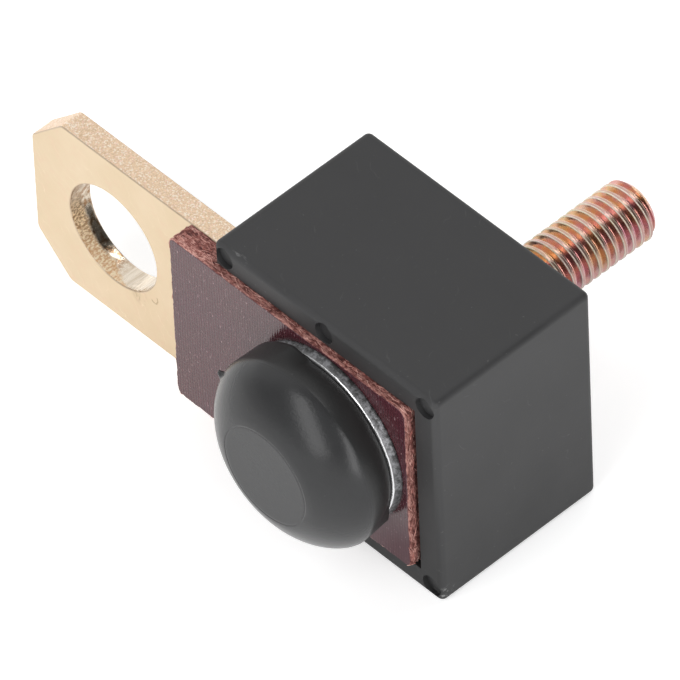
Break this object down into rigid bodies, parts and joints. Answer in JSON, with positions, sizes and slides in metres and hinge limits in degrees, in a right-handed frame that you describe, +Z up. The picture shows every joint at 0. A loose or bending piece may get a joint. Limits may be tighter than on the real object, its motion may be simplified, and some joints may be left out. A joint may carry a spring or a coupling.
{
  "type": "fuse assembly",
  "caption": "Boxed high-current fuse: a brass bar with a post hole leaves one side, a threaded cable stud leaves the back, a rubber cap covers the bolt head.",
  "frame": {"origin": "centre of the box's base", "axes": "+Z up, +Y from the capped front to the cable stud at the back, -X towards the terminal bar's free end"},
  "size_m": [0.0514, 0.0433, 0.0247],
  "materials": {
    "box_plastic": "fine moulded black",
    "laminate": "red-brown woven laminate, semi-gloss face, fibrous cut edge",
    "bar_brass": "pale satin brass with sheared edges",
    "washer_zinc": "bright zinc",
    "cap_rubber": "satin black rubber",
    "bolt_zinc": "yellow passivated zinc, iridescent",
    "inner_brass": "plain",
    "link_alloy": "tinned",
    "inner_zinc": "plain zinc"
  },
  "bodies": {
    "root": {"housing": "box_plastic", "insulating_board": "laminate", "terminal_bar": "bar_brass", "flat_washer": "washer_zinc", "head_cap": "cap_rubber", "stud_bolt": "bolt_zinc", "link_spacer": "inner_brass", "fuse_link": "link_alloy", "link_rivet": "inner_brass", "inner_washer": "inner_zinc", "clamp_nut": "inner_zinc", "spacer_sleeve": "inner_zinc"}
  },
  "joints": []
}
